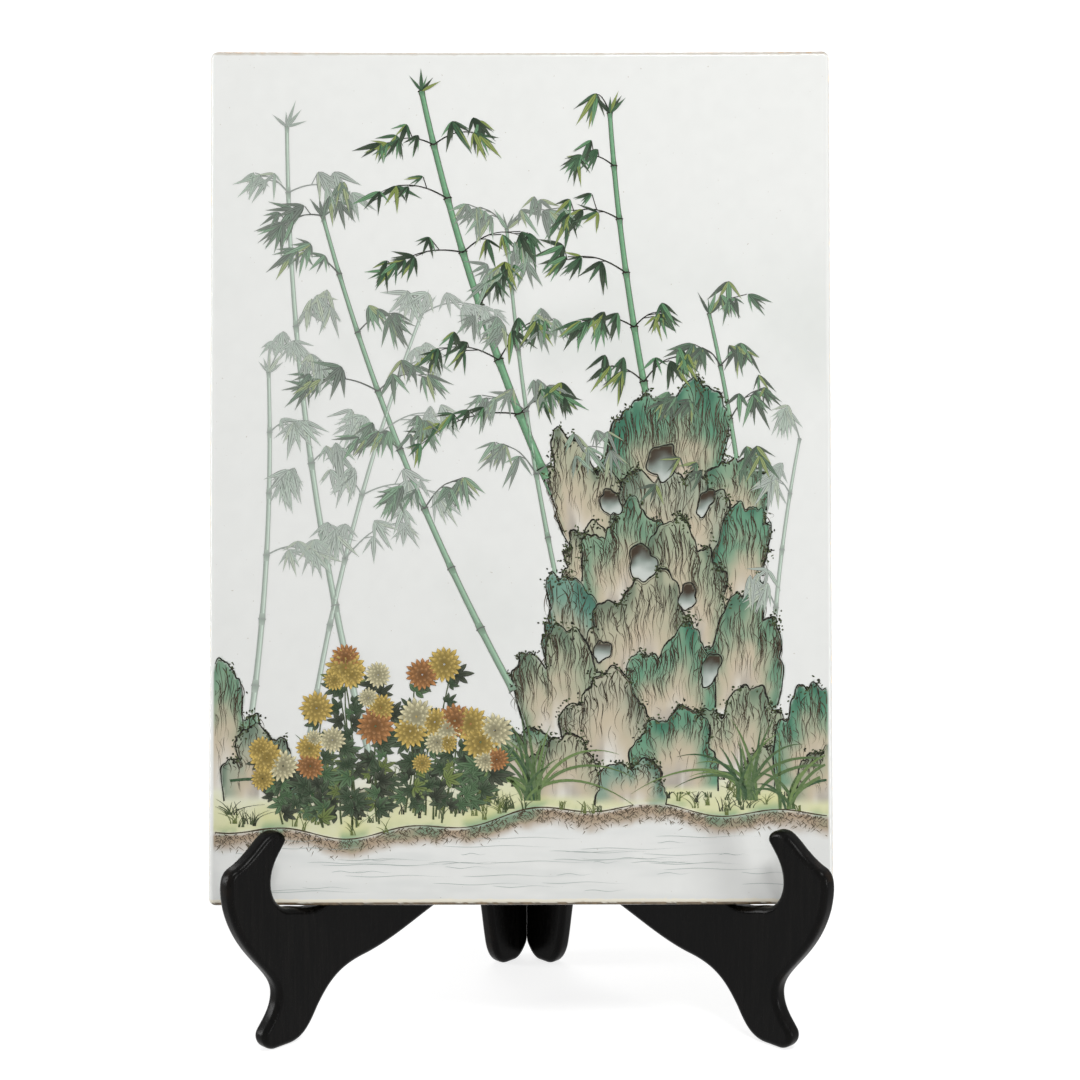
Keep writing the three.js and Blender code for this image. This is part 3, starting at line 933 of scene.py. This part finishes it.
class Brush:
    """Collects strokes on the plaque's face, in its millimetres, and lays them as one thin mesh."""

    def __init__(self):
        self.corners, self.faces, self.shades, self.count = [], [], [], 0

    def draw(self, paths, widths, shades, lift, hidden=()):
        """One path (points, 2) or many of one length (many, points, 2), with a shade for each or for all.
        lift is how far they lie over the glaze, and hidden holds the outlines that they pass behind."""
        paths = np.reshape(paths, (-1, *np.shape(paths)[-2:]))
        many, points, _ = paths.shape
        ahead = np.gradient(paths, axis=1)
        ahead /= np.linalg.norm(ahead, axis=2, keepdims=True) + 1e-9
        aside = np.stack([-ahead[..., 1], ahead[..., 0]], axis=-1)
        aside *= np.broadcast_to(widths, (many, points))[..., None] / 2
        across, up = paths[..., 0], paths[..., 1]
        shown = (np.abs(across) < stroke_half) & (up > stroke_foot) & (up < stroke_top)
        for outline in hidden:
            shown &= ~inside(across, up, outline)
        lifts = lift + np.arange(many)[:, None, None] % 7 * 0.002 + np.zeros((many, points, 2))
        sides = np.stack([paths - aside, paths + aside], axis=2)
        self.corners.append(np.concatenate([sides, lifts[..., None]], axis=-1).reshape(-1, 3))
        if shades.ndim == 2:
            shades = shades[:, None, :]
        self.shades.append(np.repeat(np.broadcast_to(shades, (many, points, 3)), 2, axis=1).reshape(-1, 3))
        index = self.count + np.arange(many * points * 2).reshape(many, points, 2)
        quads = np.stack([index[:, :-1, 0], index[:, 1:, 0], index[:, 1:, 1], index[:, :-1, 1]], axis=-1)
        self.faces.append(quads[shown[:, :-1] & shown[:, 1:]])
        self.count += many * points * 2

    def lay(self, name, material):
        used, faces = np.unique(np.vstack(self.faces), return_inverse=True)
        corners = np.vstack(self.corners)[used]
        mesh = new_mesh(name, corners.tolist(), faces.reshape(-1, 4).tolist())
        keep_paint(mesh.color_attributes, np.vstack(self.shades)[used])
        spots = corners[faces.ravel(), :2] / (2 * plaque_half, plaque_height) + (0.5, 0)
        mesh.uv_layers.new(name="OFBake").uv.foreach_set("vector", spots.astype(np.float32).ravel())
        mesh.materials.append(material)
        lay_on_glaze(name, mesh)


def enamel(name, gloss):
    """Fired colour with the brush's own unevenness in it."""
    made = Finish(name)
    uneven = made.noise(700, 3, 0.6).step(0.35, 0.75)
    paint = made.attribute("paint", "Color")
    return made.coat({
        "Base Color": made.blend(uneven * 0.14, paint, (0.35, 0.33, 0.27), "SCREEN"),
        "Roughness": gloss + uneven * 0.1,
        "Specular IOR Level": 0.18,
    })


def swell(s, lead=0.5):
    """How wide a stroke is along its length: thin in, full, and thin out."""
    return np.clip(np.sin(math.pi * s ** lead), 0.06, 1)


hand = np.random.default_rng(7)
soot = tint(24, 24, 18)
sepia = tint(70, 58, 42)
smoke = tint(128, 118, 98)
ink = Brush()
steps = np.linspace(0, 1, 9)

for number, rock in enumerate(rocks):
    nearer = rocks[number + 1:] + hollows
    ink.draw(rock, 0.3 + 1.05 * cloud(*rock.T, 5, 60 + number, 2) ** 1.6, soot, 0.09, nearer)
    echo = rock + (rock.mean(axis=0) - rock) * 0.05
    ink.draw(echo, 0.5 * rise(cloud(*echo.T, 6, 90 + number, 2), 0.45, 0.7), sepia, 0.08, nearer)
    # Fine creases that fall from the crest, fewer and paler lower down
    many = int(np.ptp(rock[:, 0]) * np.ptp(rock[:, 1]) / 11)
    crest = rock[hand.integers(14, len(rock) - 14, many)]
    middle = rock[:, 0].mean()
    base = np.column_stack([middle + (crest[:, 0] - middle) * 0.8, np.full(many, rock[0, 1])])
    begin = hand.beta(1, 2.6, (many, 1)) * 0.8
    s = begin + hand.uniform(0.1, 0.34, (many, 1)) * steps
    path = crest[:, None] + (base - crest)[:, None] * s[..., None]
    path[..., 0] += hand.normal(0, 1.3, (many, 1)) * np.sin(math.pi * steps)
    path[..., 0] += 0.5 * np.sin(path[..., 1] / 2.7 + number)
    weight = hand.uniform(0.18, 0.5, (many, 1)) * (1.1 - s)
    shade = sepia + (soot - sepia) * hand.random((many, 1)) * (1 - begin) + (smoke - sepia) * begin * 0.6
    keep = inside(path[:, 0, 0], path[:, 0, 1] - 0.4, rock)
    ink.draw(path[keep], (weight * swell(steps, 0.548))[keep], shade[keep], 0.07, nearer)

for hollow in hollows:
    ink.draw(hollow, 0.35 + 0.5 * cloud(*hollow.T, 4, 3, 2), soot, 0.09)
    ring = hollow - (hollow.mean(axis=0) - hollow) * 0.14
    ink.draw(ring, 0.3 * rise(cloud(*ring.T, 3, 5, 2), 0.4, 0.7), sepia, 0.08)

# The edge of the bank, with short hatching under it
along = np.linspace(-136, 136, 1400)
ink.draw(np.column_stack([along, bank(along)]), 0.2 + 0.7 * cloud(along, along * 0, 6, 4), sepia, 0.08, rocks)
many = 1500
across = hand.uniform(-136, 136, many)
drop = hand.beta(1, 2.4, many) * 9
start = np.column_stack([across, bank(across) - 0.3 - drop])
stroke = np.column_stack([hand.uniform(-2.6, 2.6, many), -hand.uniform(0.4, 2.4, many)])
path = start[:, None] + steps[:, None] * stroke[:, None]
ink.draw(path, hand.uniform(0.2, 0.42, (many, 1)) * swell(steps), mixed(sepia, smoke, drop / 9), 0.06, rocks)

# Low lines over the bare ground below
across, level, run = (hand.uniform(least, most, (46, 1)) for least, most in ((-120, 120), (6, 30), (10, 50)))
fine = np.linspace(0, 1, 30)
path = np.stack([across + run * (fine - 0.5), level + 0.35 * np.sin(fine * 9 + across)], axis=-1)
ink.draw(path, 0.22 * swell(fine), tint(176, 186, 182), 0.05)

# Tufts of grass on the bank and between the rocks
for x, y in [(x, bank(x) + hand.uniform(-1, 24)) for x in hand.uniform(-130, 130, 230)]:
    blades = hand.integers(4, 9)
    lean_over = hand.normal(0, 0.55, (blades, 1))
    tall = hand.uniform(3, 8.5, (blades, 1))
    fan = np.stack([
        x + hand.normal(0, 0.7, (blades, 1)) + lean_over * tall * steps ** 1.8,
        y + tall * steps * (1 - 0.25 * np.abs(lean_over) * steps),
    ], axis=-1)
    green = tint(*[(70, 84, 52), (104, 116, 66), (44, 50, 34)][hand.integers(3)])
    ink.draw(fan, 0.5 * (1 - steps * 0.85), green, 0.11, rocks[9:] if y < 60 else rocks)

# Long arching leaves of orchids by the rocks
arch = np.linspace(0, 1, 18)
for x, y, blades in ((4, 46, 26), (100, 46, 20), (-84, 42, 20), (118, 42, 12)):
    bend = hand.normal(0, 1, (blades, 1))
    tall = hand.uniform(18, 44, (blades, 1))
    fan = np.stack([
        x + hand.normal(0, 2, (blades, 1)) + bend * tall * 0.75 * arch ** 1.6,
        y + tall * (arch - np.abs(bend) * 0.42 * arch ** 3),
    ], axis=-1)
    shade = mixed(tint(56, 84, 58), tint(116, 140, 84), hand.random(blades))
    ink.draw(fan, 1.5 * (np.sin(math.pi * (arch * 0.93 + 0.07) ** 0.7) * 0.9 + 0.06), shade, 0.14)


# ---- Bamboo
# Stalks in single loaded strokes, one from joint to joint, twigs from the joints, and hanging leaves in
# fans of four to seven. The leaves are one painted leaf, set on points by a node tree with its sizes.

stems = Brush()
leaves = []
fresh = [tint(*shade) for shade in ((36, 56, 40), (58, 94, 66), (98, 144, 104), (136, 152, 80))]
haze = tint(204, 213, 205)


def leaf_fan(place, towards, spread, count, length, distance):
    """Leaves hanging from one twig end. distance is 0 near the viewer and 1 lost in mist."""
    for turn in np.linspace(-spread, spread, count) + hand.normal(0, 0.16, count):
        long = length * hand.uniform(0.6, 1.15) * (1 - 0.25 * abs(turn))
        near = fresh[hand.choice(4, p=(0.36, 0.32, 0.2, 0.12))]
        lift = 0.13 + 0.08 * (1 - distance) * hand.random()
        half_width = long * hand.uniform(0.055, 0.09)
        leaves.append((*place, towards + turn, half_width, long, lift, *(near + (haze - near) * distance)))


def leafy(x, y):
    """Whether leaves may hang here: the margins and the upper right stay bare."""
    return abs(x) < 119 and y < 362 and not (x > 52 and y > 288)


def twig(start, angle, reach, distance, shade):
    """A twig that rises from a joint and bends over under its leaves."""
    s = np.linspace(0, 1, 14)
    path = start + reach * np.column_stack([math.cos(angle) * s, math.sin(angle) * s - 0.45 * s ** 2.2])
    if not leafy(*path[-1]):
        return
    stems.draw(path, 0.7 - 0.45 * s, shade, 0.118, rocks)
    for part in (4, 6, 8, 10, 12, 13):
        if part < 13 and hand.random() < 0.12:
            continue
        heading = angle + hand.choice((-0.7, 0.6)) if part < 13 else angle - 0.6
        short = hand.uniform(2, 8) if part < 13 else 0.5
        end = path[part] + short * np.array([math.cos(heading), math.sin(heading)])
        if not leafy(*end):
            continue
        stems.draw(path[part] + (end - path[part]) * s[::2, None], 0.4, shade, 0.117, rocks)
        hang = -math.pi / 2 - 0.12 + 0.6 * math.cos(angle) + hand.normal(0, 0.22)
        leaf_fan(end, hang, hand.uniform(0.35, 0.95), hand.integers(4, 8), hand.uniform(10, 17), distance)


def bamboo(foot, tip, bow, width, joints, distance, first_twig):
    foot, tip = np.array(foot, float), np.array(tip, float)
    rise_x, rise_y = tip - foot
    aside = np.array([-rise_y, rise_x]) / np.linalg.norm(tip - foot)

    def at(s):
        s = np.asarray(s)[..., None]
        return foot + (tip - foot) * s + aside * bow * 4 * s * (1 - s)

    dark, rim, green = (
        near + (far - near) * distance
        for near, far in ((soot, haze * 0.75), (sepia, haze * 0.75), (tint(112, 158, 122), haze))
    )
    edges = np.linspace(0, 1, joints + 1) ** 0.92
    ends = np.abs(np.linspace(-1, 1, 12)) ** 8
    for low, high in zip(edges[:-1], edges[1:]):
        s = np.linspace(low, high, 12)
        thick = width * (1 - 0.5 * s) * (0.9 + 0.2 * ends)
        shade = green * (1 - 0.35 * ends)[:, None]
        stems.draw(at(s), thick, shade[None], 0.1 - 0.03 * distance, rocks)
        heading = at(high) - at(high - 0.01)
        heading /= np.linalg.norm(heading)
        square = np.array([-heading[1], heading[0]])
        for side in (-1, 1):
            stems.draw(at(s) + square * side * thick[:, None] / 2, 0.2 + 0.14 * ends, rim, 0.105, rocks)
        # A light and a shaded stroke along each length, short of its joints
        for across, share, tone in ((-0.18, 0.26, 1.3), (0.34, 0.2, 0.7)):
            path = at(s[1:-1]) + square * thick[1:-1, None] * across
            stems.draw(path, thick[1:-1] * share, green * tone, 0.106, rocks)
        ring = np.linspace(-0.64, 0.64, 7)
        band = at(high) + square * ring[:, None] * thick[-1] + heading * (0.4 - ring[:, None] ** 2)
        stems.draw(band, 0.6 * (1 - ring ** 4), dark, 0.115, rocks)
        if high < first_twig:
            continue
        for side in (-1, 1):
            if hand.random() < 0.88:
                angle = math.atan2(heading[1], heading[0]) + side * hand.uniform(0.25, 1.15)
                twig(at(high), angle, hand.uniform(16, 46) * (1.3 - high * 0.6), distance, dark)
    leaf_fan(at(1), math.pi / 2 - 0.2, 0.8, 5, 12, distance)


# From the mist to the front: foot, tip, bow, width, joints, distance, and where the twigs begin
for stalk in (
    ((-122, 64), (-112, 236), -4, 3.0, 6, 0.78, 0.35), ((-96, 58), (-44, 262), 6, 2.6, 7, 0.8, 0.4),
    ((-66, 62), (-104, 346), 9, 3.2, 9, 0.68, 0.45), ((110, 74), (124, 206), 3, 2.4, 5, 0.72, 0.35),
    ((14, 64), (-88, 306), 9, 3.4, 9, 0.28, 0.42), ((34, 70), (-6, 300), 6, 2.6, 8, 0.4, 0.5),
    ((104, 84), (84, 262), -5, 3.0, 7, 0.12, 0.5), ((88, 100), (40, 352), 8, 4.0, 10, 0.0, 0.5),
    ((62, 90), (-44, 362), 12, 4.8, 11, 0.0, 0.42),
):
    bamboo(*stalk)

leaves = np.array(leaves)
leaves = leaves[(np.abs(leaves[:, 0]) < 122) & (leaves[:, 1] < 366)]

painted_leaf = Pattern("painted leaves", {
    "Belly": 0.6, "Fullness": 1.0, "Crown": 0.02, "Cross points": 5, "Length points": 9,
}, "Enamel", "Leaves")
belly, full, crown, cross, long = painted_leaf.sizes
sizes = {"Size X": 2.0, "Size Y": 1.0, "Vertices X": cross, "Vertices Y": long}
grid = painted_leaf.node("GeometryNodeMeshGrid", {}, sizes)
spot = painted_leaf.node("GeometryNodeInputPosition", {}, {})
across, along = (painted_leaf.node("ShaderNodeSeparateXYZ", {}, {0: spot}, axis) for axis in (0, 1))
stored = {"data_type": "FLOAT", "domain": "POINT"}
for name, value in (("across", across), ("along", along + 0.5)):
    inputs = {"Geometry": grid, "Name": name, "Value": value}
    grid = painted_leaf.node("GeometryNodeStoreNamedAttribute", stored, inputs)
across, along = (painted_leaf.named(name, "FLOAT") for name in ("across", "along"))
arc = (along.either(0.0) ** belly) * math.pi
wide = arc.maths("SINE", arc).either(0.0) ** full
inputs = {0: across * wide, 1: along, 2: (1 - across * across) * crown}
shaped = painted_leaf.node("GeometryNodeSetPosition", {}, {
    "Geometry": grid, "Position": painted_leaf.node("ShaderNodeCombineXYZ", {}, inputs),
})
painted_leaf.set_out(shaped, Scale=painted_leaf.named("size"))


def set_leaves(name, rows, material, **sizes):
    """rows: across, up, turn, half width, length, lift, and three of colour."""
    zero = np.zeros(len(rows))
    points = marked_points(
        rows[:, [0, 1, 5]].tolist(),
        turn=np.column_stack([zero, zero, rows[:, 2] - math.pi / 2]),
        size=np.column_stack([rows[:, 3], rows[:, 4], zero + 1]),
    )
    keep_paint(points.attributes, rows[:, 6:9])
    lay_on_glaze(name, painted_leaf.made_on(points, enamel=material, **sizes))


def leaf_enamel(name, edge_from, rib, edge_shade):
    """Enamel that pools darker along a leaf's edges and rib, and thins towards its tip."""
    made = Finish(name)
    aside = abs(made.attribute("across"))
    along = made.attribute("along")
    uneven = made.noise(420, 3, 0.6).step(0.3, 0.75)
    lighter = along.step(0.1, 1.0) * 0.3 + uneven * 0.14
    colour = made.blend(lighter, made.attribute("paint", "Color"), (0.2, 0.22, 0.16), "SCREEN")
    middle = (1 - aside.step(0.0, rib)) * (1 - along.step(0.5, 0.95))
    dark = aside.step(edge_from, edge_from + 0.12).either(middle)
    return made.coat({
        "Base Color": made.blend(dark * edge_shade, colour, tint(38, 40, 28)),
        "Roughness": 0.16 + uneven * 0.12,
        "Specular IOR Level": 0.2,
    })


set_leaves(
    "bamboo_leaves", leaves, leaf_enamel("leaf enamel", 0.72, 0.2, 0.7),
    belly=0.6, fullness=1.15, crown=0.03, cross_points=3, length_points=9,
)

# Moss dots on the crowns of the rocks
dots = []
moss = tint(84, 98, 62)
for number, rock in enumerate(rocks):
    nearer = rocks[number + 1:] + hollows
    for spot in hand.integers(16, 134, int(np.ptp(rock[:, 0]) * 0.42)):
        for _ in range(hand.integers(4, 11)):
            x, y = rock[spot] + hand.normal(0, 1.25, 2)
            if any(inside(np.array([x]), np.array([y]), outline)[0] for outline in nearer):
                continue
            shade = soot + (moss - soot) * hand.random() ** 1.5
            turn, half_width, long = hand.uniform(0, 6.3), hand.uniform(0.22, 0.5), hand.uniform(0.7, 1.7)
            dots.append((x, y, turn, half_width, long, 0.12, *shade))
dots = np.array(dots)
dots = dots[(np.abs(dots[:, 0]) < 134.5) & (dots[:, 1] > 6)]
set_leaves(
    "moss_dots", dots, enamel("dark enamel", 0.2),
    belly=0.8, fullness=0.6, crown=0.02, cross_points=2, length_points=5,
)


# ---- Chrysanthemums
# Flowers in ochre, cream and rust among dark lobed leaves, at the foot of the rock on the left. Each petal
# is a single touch of the brush, and each leaf five.

petals, foliage = [], []
leaf_greens = [tint(*shade) for shade in ((48, 68, 46), (74, 104, 70), (104, 120, 62), (38, 46, 34))]
ochre, cream, rust = (tint(*shade) for shade in ((222, 188, 92), (240, 230, 184), (196, 128, 66)))


def flower(x, y, radius, shade):
    """Three rings of petals, each nearer, shorter and darker than the one round it."""
    for layer, (count, inner, outer) in enumerate(((17, 0.2, 1.0), (13, 0.12, 0.74), (9, 0.04, 0.46))):
        for turn in np.linspace(0, 2 * math.pi, count, endpoint=False) + hand.random():
            long = radius * (outer - inner) * hand.uniform(0.88, 1.1)
            tone = np.clip(shade * hand.uniform(0.86, 1.1) * (1 - 0.12 * layer), 0, 1)
            place = (x + math.cos(turn) * radius * inner, y + math.sin(turn) * radius * inner)
            lift = 0.24 + 0.02 * layer + hand.random() * 0.008
            petals.append((*place, turn, radius * 0.13, long, lift, *tone))


def lobed_leaf(x, y, heading, size):
    shade = leaf_greens[hand.choice(4, p=(0.4, 0.28, 0.12, 0.2))] * hand.uniform(0.85, 1.15)
    lift = 0.15 + hand.random() * 0.06
    for turn, long in ((-1.45, 0.55), (-0.7, 0.8), (0.7, 0.8), (1.45, 0.55), (0, 1.0)):
        foliage.append((x, y, heading + turn, size * 0.15, size * long, lift, *shade))


for number in range(24):
    x = -112 + number * 4.4 + hand.normal(0, 3)
    tall = 8 + 66 * math.sin(math.pi * (number + 2) / 27) * hand.uniform(0.25, 1.05)
    foot = np.array([x * 0.82 - 11, bank(x) + hand.uniform(2, 7)])
    head = np.array([x, bank(x) + 12 + tall])
    s = np.linspace(0, 1, 16)
    stem = foot + (head - foot) * s[:, None]
    stem[:, 0] += 4 * np.sin(3 * s + number) * s
    stems.draw(stem, 0.85 - 0.35 * s, tint(70, 84, 50), 0.125)
    for part in np.arange(2, 15, 1.6):
        heading = math.pi / 2 + hand.choice((-1, 1)) * hand.uniform(0.7, 1.9)
        start = stem[int(part)] + np.array([math.cos(heading), math.sin(heading)]) * hand.uniform(0.6, 3)
        lobed_leaf(*start, heading, hand.uniform(5, 9))
    flower(*head, hand.uniform(5.5, 9), (ochre, ochre, cream, rust)[number % 4])
    if number % 3 == 1:
        bud = head + (hand.uniform(-9, 9), -hand.uniform(9, 15))
        flower(*bud, hand.uniform(4, 6), (cream, ochre)[number % 2])

foliage, petals = (np.array(rows) for rows in (foliage, petals))
foliage, petals = (rows[np.abs(rows[:, 0]) < 126] for rows in (foliage, petals))
set_leaves(
    "flower_leaves", foliage, leaf_enamel("flower leaf enamel", 0.7, 0.25, 0.75),
    belly=0.85, fullness=0.75, crown=0.02, cross_points=3, length_points=7,
)
set_leaves(
    "flower_petals", petals, leaf_enamel("petal enamel", 0.62, 0.0, 0.55),
    belly=1.4, fullness=0.7, crown=0.02, cross_points=3, length_points=6,
)
ink.lay("ink_strokes", enamel("ink", 0.22))
stems.lay("bamboo_stalks", enamel("stalk enamel", 0.16))
